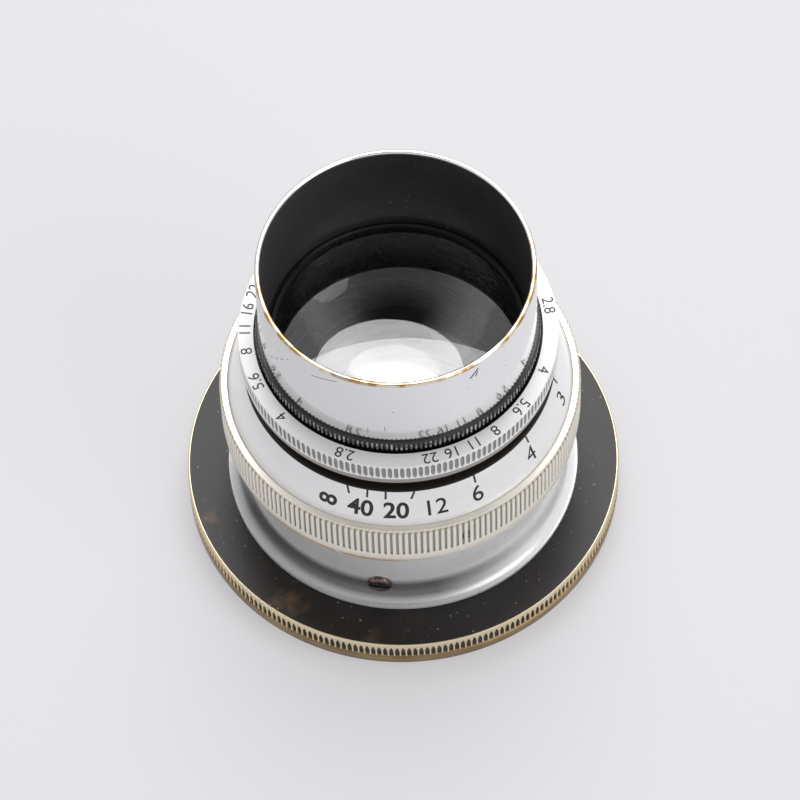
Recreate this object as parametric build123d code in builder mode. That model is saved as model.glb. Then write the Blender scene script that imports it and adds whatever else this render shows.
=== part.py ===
from build123d import *
from math import cos, pi, radians, sin, sqrt
import os

os.makedirs("parts", exist_ok=True)

# Camera lens of 105 mm, f/2.7 class, focused at infinity with its iris wide open.
# Millimetres. The optical axis is Z, the front looks up, and Z is 0 at the rear end.
# Azimuths are in degrees from +X, and the side that faces the viewer is at -90.

# Fits
running_fit = 0.06
thread_fit = 0.05
glass_fit = 0.05
cement_gap = 0.02
face_gap = 0.05

# Heights of the fixed part, from the rear end up
mount_collar_length = 2.5
flange_thickness = 5.5
flange_band_height = 1.9
flange_edge_height = 0.4
spigot_start = 1.4
flange_step = 3.5
flange_lock_height = 2.05
foot_lip_height = 0.8
foot_sweep_height = 4.9
barrel_show = 15.9
neck_rise = 2.1
neck_height = 5.9
bore_step_drop = 0.8

# Heights of the focusing part
grip_band_height = 3.0
knurl_height = 7.1
grip_web = 1.95
retaining_ring_height = 1.55
scale_web_gap = 0.2
cone_drop = 0.1
cone_height = 6.2

# Heights of the lens head
head_gap = 3.1
ring_height = 5.35
ring_band_height = 1.7
plate_thickness = 1.25
cell_shoulder_height = 1.6
nose_rise = 1.65
lock_ring_height = 1.9
hood_length = 16.6
mouth_ledge_drop = 1.5
mouth_chamfer = 0.3
mouth_thread_length = 1.35
mouth_bore_length = 7.0
mouth_taper_length = 2.1
front_cell_skirt = 0.2
front_ring_rise = 2.1
cam_gap = 0.5
cell_stop_drop = 0.6
middle_cell_height = 8.0
rear_cell_height = 7.7
rear_lock_height = 2.5
head_skirt = 2.9

# Radii: the front glass, then walls and steps out from it
front_glass_r = 20.95
front_lip = 0.75
mouth_bore_step = 0.5
mouth_thread_step = 0.05
front_ring_wall = 1.35
cell_wall = 1.2
sleeve_gap = 0.15
sleeve_wall = 0.75
head_wall = 1.14
helicoid_wall = 0.84
neck_wall = 0.94
barrel_step = 0.6
retaining_ring_wall = 1.2
rim_wall = 0.86
grip_wall = 1.29
knurl_depth = 0.35
spigot_step = 0.7
foot_overhang = 2.7
foot_sweep_width = 2.56
flange_lock_wall = 1.65
mount_collar_wall = 3.2
flange_rim = 6.9
flange_edge_step = 0.2
flange_tooth_depth = 0.35
scale_nose_wall = 1.2
hood_stand = 1.6
hood_wall = 0.9
hood_step = 0.35
nose_wall = 0.9
ring_recess = 0.37
ring_width = 2.59
scallop_depth = 0.31
foot_tooth_depth = 0.2
cell_shoulder_step = 0.3
bore_wall = 1.71
cell_stop_step = 0.55
glass_lip = 0.6
glass_ring_wall = 1.5
rear_ring_lap = 0.8
rear_glass_wall = 4.45

# Knurls: the spacing of the teeth round each ring, and the flat share of a focus ridge
knurl_land = 0.55
knurl_pitch = 0.995
scallop_pitch = 0.993
flange_pitch = 0.999
foot_pitch = 0.785

# Iris
blade_count = 12
blade_reach = 6.09
blade_margin = 1.09
iris_margin = 0.2
blade_start = -3
blade_end = 131
blade_thickness = 0.15
blade_pitch = 0.2
pin_r = 0.3
pin_fit = 0.04
boss_r = 0.75
boss_margin = 0.12
drive_pin_step = 0.09
drive_pin_azimuth = 17
iris_base_thickness = 0.8
cam_thickness = 0.8
cam_steps = 6
tab_width = 2.4
blade_swing = 36.8
aperture_travel = 84

# Motion of the focus: a helicoid of 50 mm a turn, from infinity to 3 feet
focus_travel = 98.06

# Glass: how far each surface bulges to the front at its edge, and the thicknesses at the centre
front_bulges = (-2.013, -3.209, -4.407)
middle_bulges = (-2.037, 2.571)
rear_bulges = (2.096, 4.015, -1.952)
front_thicknesses = (3.15, 2.5)
middle_thickness = 1.4
rear_thicknesses = (1.7, 7.1)
front_glass_drop = 1.9
middle_glass_drop = 3.2
middle_glass_step = 0.7
rear_glass_rise = 0.8

# Key, screws and pins
key_azimuth = -100
key_width = 3.0
key_depth = 0.9
key_foot = 1.0
key_margin = 0.9
key_side_fit = 0.05
guide_screw_rise = 3.2
guide_screw_r = 0.9
guide_head_r = 2.0
guide_head_height = 0.9
grip_screw_r = 0.95
grip_screw_height = 29.1
grip_screw_azimuth = -70.6
grip_screw_turn = -35
drive_screw_r = 0.8
drive_screw_azimuth = 100
drive_screw_rise = 1.1
stop_pin_r = 0.35
stop_pin_azimuth = 60
iris_screw_r = 0.4
iris_screw_azimuth = 8.5
slot_width = 0.45

# Worked-out heights
flange_top = mount_collar_length + flange_thickness
foot_top = flange_top + foot_lip_height
grip_bottom = flange_top + barrel_show
neck_shoulder = grip_bottom + neck_rise
neck_top = neck_shoulder + neck_height
knurl_bottom = grip_bottom + grip_band_height
grip_top = knurl_bottom + knurl_height
web_bottom = neck_shoulder + face_gap
web_top = web_bottom + grip_web
retaining_bottom = web_top + face_gap
scale_web = neck_top + scale_web_gap
cone_bottom = grip_top - cone_drop
cone_top = cone_bottom + cone_height
helicoid_bottom = neck_shoulder
bore_step = neck_shoulder - bore_step_drop
key_bottom = flange_top + key_foot
key_height = bore_step - key_margin - key_bottom
guide_screw_height = key_bottom + guide_screw_rise
ring_bottom = cone_top + head_gap
ring_top = ring_bottom + ring_height
plate_bottom = ring_top - plate_thickness
head_top = plate_bottom - face_gap
cell_seat = head_top - cell_shoulder_height
nose_top = head_top + nose_rise
lock_bottom = nose_top + face_gap
hood_shoulder = lock_bottom + lock_ring_height + face_gap
hood_top = hood_shoulder + hood_length
mouth_ledge = nose_top - mouth_ledge_drop
mouth_thread_bottom = mouth_ledge - mouth_thread_length
mouth_taper_top = mouth_thread_bottom - mouth_bore_length
mouth_taper_bottom = mouth_taper_top - mouth_taper_length
front_top = mouth_taper_bottom - front_glass_drop
front_middle = front_top - front_thicknesses[0]
front_bottom = front_middle - front_thicknesses[1]
front_cell_bottom = front_bottom - front_cell_skirt
cam_top = front_cell_bottom - cam_gap
cam_bottom = cam_top - cam_thickness
iris_base_top = cam_bottom - blade_count * blade_pitch - 2 * face_gap
iris_seat = iris_base_top - iris_base_thickness
cell_stop = iris_seat - cell_stop_drop
middle_top = iris_seat - middle_glass_drop
middle_bottom = middle_top - middle_thickness
middle_cell_bottom = iris_seat - middle_cell_height
rear_top = middle_cell_bottom + rear_glass_rise
rear_middle = rear_top - rear_thicknesses[0]
rear_bottom = rear_middle - rear_thicknesses[1]
rear_cell_bottom = middle_cell_bottom - rear_cell_height
rear_lock_bottom = rear_cell_bottom - rear_lock_height
head_bottom = rear_lock_bottom - head_skirt
drive_height = ring_bottom + drive_screw_rise

# Worked-out radii
front_clear_r = front_glass_r - front_lip
mouth_bore_r = front_glass_r - mouth_bore_step
mouth_thread_r = front_glass_r - mouth_thread_step
cell_bore_r = front_glass_r + glass_fit
front_cell_r = cell_bore_r + cell_wall
sleeve_in_r = front_cell_r + sleeve_gap
sleeve_r = sleeve_in_r + sleeve_wall
chamber_r = sleeve_r + running_fit
head_r = chamber_r + head_wall
helicoid_bore_r = head_r + running_fit
helicoid_r = helicoid_bore_r + helicoid_wall
neck_bore_r = helicoid_r + running_fit
neck_r = neck_bore_r + neck_wall
barrel_r = neck_r + barrel_step
retaining_bore_r = neck_r + thread_fit
retaining_r = retaining_bore_r + retaining_ring_wall
rim_bore_r = retaining_r + 2 * thread_fit
rim_r = rim_bore_r + rim_wall
pocket_r = rim_r + thread_fit
grip_r = pocket_r + grip_wall
spigot_r = barrel_r + spigot_step
foot_r = barrel_r + foot_overhang
flange_r = foot_r + flange_rim
flange_bore_r = spigot_r + thread_fit
flange_lock_r = flange_bore_r + flange_lock_wall
flange_counter_r = flange_lock_r + 2 * thread_fit
mount_collar_r = flange_counter_r + mount_collar_wall
scale_nose_r = head_r + scale_nose_wall
hood_r = mouth_thread_r + hood_stand
hood_bore_r = hood_r - hood_wall
hood_spigot_r = hood_r - hood_step
socket_r = hood_spigot_r + thread_fit
nose_r = socket_r + nose_wall
plate_in_r = nose_r + ring_recess
ring_r = plate_in_r + ring_width
skirt_bore_r = head_r + 2 * thread_fit
cell_shoulder_r = chamber_r + cell_shoulder_step
rear_bore_r = chamber_r - bore_wall
cell_r = rear_bore_r - thread_fit
stop_r = rear_bore_r - cell_stop_step
pivot_r = chamber_r - boss_r - boss_margin
drive_pin_r = pivot_r - drive_pin_step
blade_outer_r = pivot_r - blade_margin
blade_open_r = pivot_r - blade_reach
iris_clear_r = blade_open_r + iris_margin
iris_screw_circle_r = (stop_r + chamber_r) / 2
middle_glass_r = blade_open_r - middle_glass_step
rear_glass_r = rear_bore_r - rear_glass_wall
key_floor_r = head_r - key_depth


# Shapes used by several pieces


def turned(*points):
    # Outline of a turned piece, from points of radius and height
    with BuildSketch(Plane.XZ) as outline:
        with BuildLine():
            Polyline(*points, close=True)
        make_face()
    return outline.sketch


def radial_plane(azimuth, height=0):
    # Upright plane through the axis, its X pointing out at the azimuth and its Y up
    out = Vector(cos(radians(azimuth)), sin(radians(azimuth)), 0)
    side = Vector(sin(radians(azimuth)), -cos(radians(azimuth)), 0)
    return Plane(origin=(0, 0, height), x_dir=out, z_dir=side)


def outward_plane(azimuth, height, radius):
    # Plane that faces out at the azimuth, its Y up, at a distance from the axis
    out = Vector(cos(radians(azimuth)), sin(radians(azimuth)), 0)
    side = Vector(-sin(radians(azimuth)), cos(radians(azimuth)), 0)
    return Plane(origin=out * radius + Vector(0, 0, height), x_dir=side, z_dir=out)


def polar(radius, azimuth):
    return (radius * cos(radians(azimuth)), radius * sin(radians(azimuth)))


def toothed(outer_r, depth, pitch, land, inner_r):
    # Ring with straight teeth, where land is the flat share of each tooth
    count = round(2 * pi * outer_r / pitch)
    points = []
    for tooth in range(count):
        start = 360 * tooth / count
        points.append(polar(outer_r, start))
        if land:
            points.append(polar(outer_r, start + 360 * land / count))
        points.append(polar(outer_r - depth, start + 180 * (1 + land) / count))
    with BuildSketch() as flat:
        with BuildLine():
            Polyline(*points, close=True)
        make_face()
        Circle(inner_r, mode=Mode.SUBTRACT)
    return flat.sketch


def surface(bulge, centre, edge_r, radius):
    # Height of a glass surface at a radius, from its bulge at the edge
    curve = (edge_r**2 + bulge**2) / (2 * abs(bulge))
    drop = curve - sqrt(curve**2 - radius**2)
    return centre - drop if bulge > 0 else centre + drop


def glass(front_bulge, front_centre, rear_bulge, rear_centre, edge_r):
    # Half section of a glass element between two spherical surfaces
    front = [(r, surface(front_bulge, front_centre, edge_r, r)) for r in (0, edge_r / 2, edge_r)]
    rear = [(r, surface(rear_bulge, rear_centre, edge_r, r)) for r in (0, edge_r / 2, edge_r)]
    with BuildSketch(Plane.XZ) as half:
        with BuildLine():
            ThreePointArc(*front)
            Line(front[2], rear[2])
            ThreePointArc(*rear)
            Line(rear[0], front[0])
        make_face()
    return half.sketch


# Fixed part: flange ring with the rear thread collar in one piece

flange_groove_top = mount_collar_length + flange_band_height
flange_teeth_top = flange_top - flange_edge_height
groove_r = flange_r - 2 * flange_edge_step
with BuildPart() as flange_ring:
    revolve(
        turned(
            (flange_counter_r, 0),
            (mount_collar_r, 0),
            (mount_collar_r, mount_collar_length),
            (flange_r, mount_collar_length),
            (flange_r, flange_groove_top - flange_edge_step),
            (groove_r, flange_groove_top),
            (groove_r, flange_teeth_top),
            (flange_r, flange_teeth_top),
            (flange_r - flange_edge_step, flange_top),
            (flange_bore_r, flange_top),
            (flange_bore_r, flange_step),
            (flange_counter_r, flange_step),
        ),
        axis=Axis.Z,
    )
    with BuildSketch(Plane.XY.offset(flange_groove_top)):
        add(toothed(flange_r, flange_tooth_depth, flange_pitch, 0, groove_r - 1))
    extrude(amount=flange_teeth_top - flange_groove_top)
flange_ring.part.label = "flange_ring"
export_step(flange_ring.part, "parts/flange_ring.step")

# Base barrel, with its flared foot on the flange and its neck inside the focus grip

key_recess_r = key_floor_r + 2 * key_depth
guide_seat_r = barrel_r - face_gap
with BuildPart() as base_barrel:
    with BuildSketch(Plane.XZ):
        with BuildLine():
            Polyline(
                (helicoid_bore_r, spigot_start),
                (spigot_r, spigot_start),
                (spigot_r, flange_top),
                (foot_r - foot_lip_height / 2, flange_top),
            )
            ThreePointArc(
                (foot_r - foot_lip_height / 2, flange_top),
                (foot_r, flange_top + foot_lip_height / 2),
                (barrel_r + foot_sweep_width, foot_top),
            )
            TangentArc(
                (barrel_r, foot_top + foot_sweep_height),
                (barrel_r + foot_sweep_width, foot_top),
                tangent=(0, -1),
            )
            Polyline(
                (barrel_r, foot_top + foot_sweep_height),
                (barrel_r, neck_shoulder),
                (neck_r, neck_shoulder),
                (neck_r, neck_top),
                (neck_bore_r, neck_top),
                (neck_bore_r, bore_step),
                (helicoid_bore_r, bore_step),
                (helicoid_bore_r, spigot_start),
            )
        make_face()
    revolve(axis=Axis.Z)
    # Recess for the key, and the seat and hole of its screw
    with BuildSketch(outward_plane(key_azimuth, key_bottom + key_height / 2, key_floor_r)):
        Rectangle(key_width + 2 * key_side_fit, key_height + 2 * key_side_fit)
    extrude(amount=key_recess_r - key_floor_r, mode=Mode.SUBTRACT)
    with BuildSketch(outward_plane(key_azimuth, guide_screw_height, guide_seat_r)):
        Circle(guide_head_r + 2 * thread_fit)
    extrude(amount=foot_overhang, mode=Mode.SUBTRACT)
    with BuildSketch(outward_plane(key_azimuth, guide_screw_height, key_floor_r)):
        Circle(guide_screw_r + thread_fit)
    extrude(amount=foot_overhang + spigot_r - key_floor_r, mode=Mode.SUBTRACT)
    # Hole of the stop pin in the neck's top
    stop_pin_circle_r = (neck_bore_r + neck_r) / 2
    with BuildSketch(Plane.XY.offset(neck_top)):
        with Locations(polar(stop_pin_circle_r, stop_pin_azimuth)):
            Circle(stop_pin_r + cement_gap)
    extrude(amount=-neck_height / 3, mode=Mode.SUBTRACT)
base_barrel.part.label = "base_barrel"
export_step(base_barrel.part, "parts/base_barrel.step")

# Lock ring that holds the barrel's spigot in the flange, with two spanner notches

with BuildPart() as flange_lock_ring:
    revolve(
        turned(
            (flange_bore_r, flange_step - flange_lock_height),
            (flange_lock_r, flange_step - flange_lock_height),
            (flange_lock_r, flange_step),
            (flange_bore_r, flange_step),
        ),
        axis=Axis.Z,
    )
    with BuildSketch(Plane.XY.offset(flange_step - flange_lock_height)):
        Rectangle(2 * flange_lock_r + 1, flange_lock_wall)
    extrude(amount=flange_lock_height / 2, mode=Mode.SUBTRACT)
flange_lock_ring.part.label = "flange_lock_ring"
export_step(flange_lock_ring.part, "parts/flange_lock_ring.step")

# Key that lets the lens head slide but not turn

key_in_r = key_floor_r + 2 * thread_fit
key_out_r = key_recess_r - face_gap
with BuildPart() as guide_rail:
    with BuildSketch(outward_plane(key_azimuth, key_bottom + key_height / 2, key_in_r)):
        Rectangle(key_width, key_height)
    extrude(amount=key_out_r - key_in_r)
    with BuildSketch(outward_plane(key_azimuth, guide_screw_height, key_in_r)):
        Circle(guide_screw_r + cement_gap)
    extrude(amount=key_out_r - key_in_r, mode=Mode.SUBTRACT)
guide_rail.part.label = "guide_rail"
export_step(guide_rail.part, "parts/guide_rail.step")

# Pan head screw of the key

with BuildPart() as guide_screw:
    with BuildSketch(outward_plane(key_azimuth, guide_screw_height, key_in_r + 2 * thread_fit)):
        Circle(guide_screw_r)
    extrude(amount=guide_seat_r - key_in_r - 2 * thread_fit)
    with BuildSketch(outward_plane(key_azimuth, guide_screw_height, guide_seat_r)):
        Circle(guide_head_r)
    extrude(amount=guide_head_height)
    fillet(guide_screw.edges().sort_by_distance((0, 0, guide_screw_height))[-1], guide_head_height * 0.7)
    with BuildSketch(outward_plane(key_azimuth, guide_screw_height, guide_seat_r + guide_head_height / 2)):
        Rectangle(2 * guide_head_r + 1, slot_width)
    extrude(amount=guide_head_height, mode=Mode.SUBTRACT)
guide_screw.part.label = "guide_screw"
export_step(guide_screw.part, "parts/guide_screw.step")

# Retaining ring, screwed on the neck above the grip's web

with BuildPart() as retaining_ring:
    revolve(
        turned(
            (retaining_bore_r, retaining_bottom),
            (retaining_r, retaining_bottom),
            (retaining_r, retaining_bottom + retaining_ring_height),
            (retaining_bore_r, retaining_bottom + retaining_ring_height),
        ),
        axis=Axis.Z,
    )
    with BuildSketch(Plane.XY.offset(retaining_bottom + retaining_ring_height)):
        Rectangle(2 * retaining_r + 1, retaining_ring_wall)
    extrude(amount=-retaining_ring_height / 2, mode=Mode.SUBTRACT)
retaining_ring.part.label = "retaining_ring"
export_step(retaining_ring.part, "parts/retaining_ring.step")

# Stop pin, which ends the focus travel in the scale ring's groove

stop_groove_depth = 4 * stop_pin_r
with BuildPart() as stop_pin:
    with BuildSketch(Plane.XY.offset(neck_top - neck_height / 3)):
        with Locations(polar(stop_pin_circle_r, stop_pin_azimuth)):
            Circle(stop_pin_r)
    extrude(amount=neck_height / 3 + scale_web_gap + stop_groove_depth * 0.7)
stop_pin.part.label = "stop_pin"
export_step(stop_pin.part, "parts/stop_pin.step")

# Focusing part: knurled grip, which runs on the neck

grip_bore_r = neck_r + running_fit
grip_skirt_r = barrel_r + 2 * key_side_fit
knurl_root_r = grip_r - knurl_depth
band_top_r = grip_r - thread_fit
band_bottom_r = grip_r - 1.6 * knurl_depth
screw_azimuths = [grip_screw_azimuth + 120 * turn for turn in range(3)]
with BuildPart() as focus_grip:
    with BuildSketch(Plane.XZ):
        with BuildLine():
            ThreePointArc(
                (band_bottom_r, grip_bottom),
                (band_top_r - knurl_depth / 4, grip_bottom + grip_band_height * 0.45),
                (band_top_r, knurl_bottom),
            )
            Polyline(
                (band_top_r, knurl_bottom),
                (knurl_root_r, knurl_bottom),
                (knurl_root_r, grip_top),
                (pocket_r, grip_top),
                (pocket_r, web_top),
                (grip_bore_r, web_top),
                (grip_bore_r, web_bottom),
                (grip_skirt_r, web_bottom),
                (grip_skirt_r, grip_bottom),
                (band_bottom_r, grip_bottom),
            )
        make_face()
    revolve(axis=Axis.Z)
    with BuildSketch(Plane.XY.offset(knurl_bottom)):
        add(toothed(grip_r, knurl_depth, knurl_pitch, knurl_land, (pocket_r + knurl_root_r) / 2))
    extrude(amount=knurl_height)
    for azimuth in screw_azimuths:
        with BuildSketch(outward_plane(azimuth, grip_screw_height, rim_r)):
            Circle(grip_screw_r + cement_gap)
        extrude(amount=2 * grip_wall, mode=Mode.SUBTRACT)
focus_grip.part.label = "focus_grip"
export_step(focus_grip.part, "parts/focus_grip.step")

# Scale ring: the cone, its rim in the grip's pocket, and the helicoid sleeve, in one piece

groove_half_width = stop_pin_r + 2 * thread_fit
with BuildPart() as scale_ring:
    revolve(
        turned(
            (helicoid_bore_r, helicoid_bottom),
            (helicoid_r, helicoid_bottom),
            (helicoid_r, scale_web),
            (rim_bore_r, scale_web),
            (rim_bore_r, web_top),
            (rim_r, web_top),
            (rim_r, cone_bottom),
            (scale_nose_r, cone_top),
            (helicoid_bore_r, cone_top),
        ),
        axis=Axis.Z,
    )
    # Groove that the stop pin runs in
    with BuildSketch(radial_plane(stop_pin_azimuth)):
        with Locations((stop_pin_circle_r, scale_web)):
            Rectangle(2 * groove_half_width, 2 * stop_groove_depth)
    revolve(axis=Axis.Z, revolution_arc=focus_travel, mode=Mode.SUBTRACT)
    with BuildSketch(Plane.XY.offset(scale_web)):
        with Locations(
            polar(stop_pin_circle_r, stop_pin_azimuth),
            polar(stop_pin_circle_r, stop_pin_azimuth + focus_travel),
        ):
            Circle(groove_half_width)
    extrude(amount=stop_groove_depth, mode=Mode.SUBTRACT)
scale_ring.part.label = "scale_ring"
export_step(scale_ring.part, "parts/scale_ring.step")

# Three slotted grub screws that lock the grip on the scale ring's rim

with BuildPart() as grip_screws:
    for azimuth in screw_azimuths:
        with BuildSketch(outward_plane(azimuth, grip_screw_height, rim_r)):
            Circle(grip_screw_r)
        extrude(amount=grip_wall * 0.9)
        with BuildSketch(outward_plane(azimuth, grip_screw_height, rim_r + grip_wall * 0.5)):
            with Locations(Rotation(0, 0, grip_screw_turn)):
                Rectangle(3 * grip_screw_r, slot_width)
        extrude(amount=grip_wall, mode=Mode.SUBTRACT)
grip_screws.part.label = "grip_screws"
export_step(grip_screws.part, "parts/grip_screws.step")

# Lens head: barrel with the iris chamber above the step and the cell bore below it

counterbore_r = cell_shoulder_r + thread_fit
drive_slot_half = drive_screw_r + 2 * thread_fit
with BuildPart() as head_barrel:
    revolve(
        turned(
            (rear_bore_r, head_bottom),
            (head_r, head_bottom),
            (head_r, head_top),
            (counterbore_r, head_top),
            (counterbore_r, cell_seat),
            (chamber_r, cell_seat),
            (chamber_r, iris_seat),
            (stop_r, iris_seat),
            (stop_r, cell_stop),
            (rear_bore_r, cell_stop),
        ),
        axis=Axis.Z,
    )
    # Keyway, open at the rear
    keyway_height = key_bottom + key_height + 3 * face_gap - head_bottom
    with BuildSketch(outward_plane(key_azimuth, head_bottom + keyway_height / 2, key_floor_r)):
        Rectangle(key_width + 2 * key_side_fit, keyway_height)
    extrude(amount=2 * key_depth, mode=Mode.SUBTRACT)
    # Slot that the drive screw runs in, which also holds the aperture ring down
    with BuildSketch(radial_plane(drive_screw_azimuth)):
        with Locations((head_r, drive_height)):
            Rectangle(3 * head_wall, 2 * drive_slot_half)
    revolve(axis=Axis.Z, revolution_arc=aperture_travel, mode=Mode.SUBTRACT)
    for azimuth in (drive_screw_azimuth, drive_screw_azimuth + aperture_travel):
        with BuildSketch(outward_plane(azimuth, drive_height, sleeve_in_r)):
            Circle(drive_slot_half)
        extrude(amount=3 * head_wall, mode=Mode.SUBTRACT)
    # Holes of the iris screws
    with BuildSketch(Plane.XY.offset(iris_seat)):
        with PolarLocations(iris_screw_circle_r, 3, start_angle=iris_screw_azimuth):
            Circle(iris_screw_r + cement_gap)
    extrude(amount=-3 * iris_screw_r, mode=Mode.SUBTRACT)
head_barrel.part.label = "head_barrel"
export_step(head_barrel.part, "parts/head_barrel.step")

# Front cell: nose for the hood, threaded mouth, tapered lip over the glass

seat_outer = surface(front_bulges[0], front_top, front_glass_r, front_glass_r) + cement_gap
seat_inner = surface(front_bulges[0], front_top, front_glass_r, front_clear_r) + cement_gap
with BuildPart() as front_cell:
    revolve(
        turned(
            (cell_bore_r, front_cell_bottom),
            (front_cell_r, front_cell_bottom),
            (front_cell_r, cell_seat),
            (cell_shoulder_r, cell_seat),
            (cell_shoulder_r, head_top),
            (nose_r, head_top),
            (nose_r, nose_top),
            (socket_r, nose_top),
            (socket_r, mouth_ledge),
            (mouth_thread_r + mouth_chamfer, mouth_ledge),
            (mouth_thread_r, mouth_ledge - mouth_chamfer),
            (mouth_thread_r, mouth_thread_bottom),
            (mouth_bore_r, mouth_thread_bottom),
            (mouth_bore_r, mouth_taper_top),
            (front_clear_r, mouth_taper_bottom),
            (front_clear_r, seat_inner),
            (cell_bore_r, seat_outer),
        ),
        axis=Axis.Z,
    )
front_cell.part.label = "front_cell"
export_step(front_cell.part, "parts/front_cell.step")

# Hood tube, which stands on the ledge in the front cell's mouth

with BuildPart() as hood_tube:
    revolve(
        turned(
            (hood_bore_r, mouth_ledge),
            (hood_spigot_r, mouth_ledge),
            (hood_spigot_r, hood_shoulder),
            (hood_r, hood_shoulder),
            (hood_r, hood_top),
            (hood_bore_r, hood_top),
        ),
        axis=Axis.Z,
    )
    fillet(hood_tube.faces().sort_by(Axis.Z)[-1].edges(), hood_wall * 0.42)
hood_tube.part.label = "hood_tube"
export_step(hood_tube.part, "parts/hood_tube.step")

# Knurled lock ring at the hood's foot

lock_top = lock_bottom + lock_ring_height
with BuildPart() as hood_lock_ring:
    revolve(
        turned(
            (socket_r, lock_bottom),
            (nose_r - foot_tooth_depth, lock_bottom),
            (nose_r - foot_tooth_depth, lock_top),
            (socket_r, lock_top),
        ),
        axis=Axis.Z,
    )
    with BuildSketch(Plane.XY.offset(lock_bottom)):
        add(toothed(nose_r, foot_tooth_depth, foot_pitch, 0, (socket_r + nose_r) / 2 - foot_tooth_depth / 2))
    extrude(amount=lock_ring_height)
hood_lock_ring.part.label = "hood_lock_ring"
export_step(hood_lock_ring.part, "parts/hood_lock_ring.step")

# Front pair of glasses, loaded from behind and held by a threaded ring

with BuildPart() as front_glass_outer:
    revolve(
        glass(front_bulges[0], front_top, front_bulges[1], front_middle, front_glass_r),
        axis=Axis.Z,
    )
front_glass_outer.part.label = "front_glass_outer"
export_step(front_glass_outer.part, "parts/front_glass_outer.step")

with BuildPart() as front_glass_inner:
    revolve(
        glass(front_bulges[1], front_middle - cement_gap, front_bulges[2], front_bottom, front_glass_r),
        axis=Axis.Z,
    )
front_glass_inner.part.label = "front_glass_inner"
export_step(front_glass_inner.part, "parts/front_glass_inner.step")

front_ring_in_r = front_glass_r - front_ring_wall
front_ring_top = surface(front_bulges[2], front_bottom, front_glass_r, front_ring_in_r) - cement_gap
front_ring_bottom = front_cell_bottom + front_ring_rise
with BuildPart() as front_retainer:
    revolve(
        turned(
            (front_ring_in_r, front_ring_bottom),
            (cell_bore_r - thread_fit, front_ring_bottom),
            (cell_bore_r - thread_fit, front_ring_top),
            (front_ring_in_r, front_ring_top),
        ),
        axis=Axis.Z,
    )
    with BuildSketch(Plane.XY.offset(front_ring_bottom)):
        Rectangle(2 * front_cell_r, front_ring_wall)
    extrude(amount=front_ring_wall / 2, mode=Mode.SUBTRACT)
front_retainer.part.label = "front_retainer"
export_step(front_retainer.part, "parts/front_retainer.step")

# Iris base plate, with a pivot hole for each blade, and its three screws

pivot_azimuths = [360 * blade / blade_count for blade in range(blade_count)]
with BuildPart() as iris_base:
    with BuildSketch(Plane.XY.offset(iris_seat)):
        Circle(sleeve_r)
        Circle(iris_clear_r, mode=Mode.SUBTRACT)
        with PolarLocations(pivot_r, blade_count):
            Circle(pin_r + pin_fit, mode=Mode.SUBTRACT)
        with PolarLocations(iris_screw_circle_r, 3, start_angle=iris_screw_azimuth):
            Circle(iris_screw_r + cement_gap, mode=Mode.SUBTRACT)
    extrude(amount=iris_base_thickness)
    with BuildSketch(Plane.XY.offset(iris_base_top)):
        with PolarLocations(iris_screw_circle_r, 3, start_angle=iris_screw_azimuth):
            Circle(2 * iris_screw_r)
    extrude(amount=-iris_base_thickness / 2, mode=Mode.SUBTRACT)
iris_base.part.label = "iris_base"
export_step(iris_base.part, "parts/iris_base.step")

with BuildPart() as iris_screws:
    with BuildSketch(Plane.XY.offset(iris_base_top - iris_base_thickness / 2)):
        with PolarLocations(iris_screw_circle_r, 3, start_angle=iris_screw_azimuth):
            Circle(2 * iris_screw_r - cement_gap)
    extrude(amount=iris_base_thickness / 2 - cement_gap)
    with BuildSketch(Plane.XY.offset(iris_seat - 3 * iris_screw_r + face_gap)):
        with PolarLocations(iris_screw_circle_r, 3, start_angle=iris_screw_azimuth):
            Circle(iris_screw_r)
    extrude(amount=3 * iris_screw_r + iris_base_thickness / 2)
iris_screws.part.label = "iris_screws"
export_step(iris_screws.part, "parts/iris_screws.step")

# Middle glass in its cell, which stops against the step under the iris

middle_bore_r = middle_glass_r + glass_fit
middle_lip_r = middle_glass_r - glass_lip
middle_lip_top = surface(middle_bulges[1], middle_bottom, middle_glass_r, middle_glass_r) - cement_gap
middle_ring_bottom = surface(middle_bulges[0], middle_top, middle_glass_r, middle_glass_r) + cement_gap
middle_ring_r = middle_glass_r + glass_ring_wall
with BuildPart() as middle_cell:
    revolve(
        turned(
            (middle_lip_r, middle_cell_bottom),
            (cell_r, middle_cell_bottom),
            (cell_r, cell_stop),
            (stop_r - thread_fit, cell_stop),
            (stop_r - thread_fit, iris_seat - face_gap),
            (middle_ring_r + thread_fit, iris_seat - face_gap),
            (middle_ring_r + thread_fit, middle_ring_bottom),
            (middle_bore_r, middle_ring_bottom),
            (middle_bore_r, middle_lip_top),
            (middle_lip_r, middle_lip_top),
        ),
        axis=Axis.Z,
    )
middle_cell.part.label = "middle_cell"
export_step(middle_cell.part, "parts/middle_cell.step")

with BuildPart() as middle_glass:
    revolve(
        glass(middle_bulges[0], middle_top, middle_bulges[1], middle_bottom, middle_glass_r),
        axis=Axis.Z,
    )
middle_glass.part.label = "middle_glass"
export_step(middle_glass.part, "parts/middle_glass.step")

with BuildPart() as middle_retainer:
    revolve(
        turned(
            (middle_lip_r, middle_ring_bottom),
            (middle_ring_r, middle_ring_bottom),
            (middle_ring_r, iris_seat - 3 * face_gap),
            (middle_lip_r, iris_seat - 3 * face_gap),
        ),
        axis=Axis.Z,
    )
middle_retainer.part.label = "middle_retainer"
export_step(middle_retainer.part, "parts/middle_retainer.step")

# Rear pair of glasses in the rear cell

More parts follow.
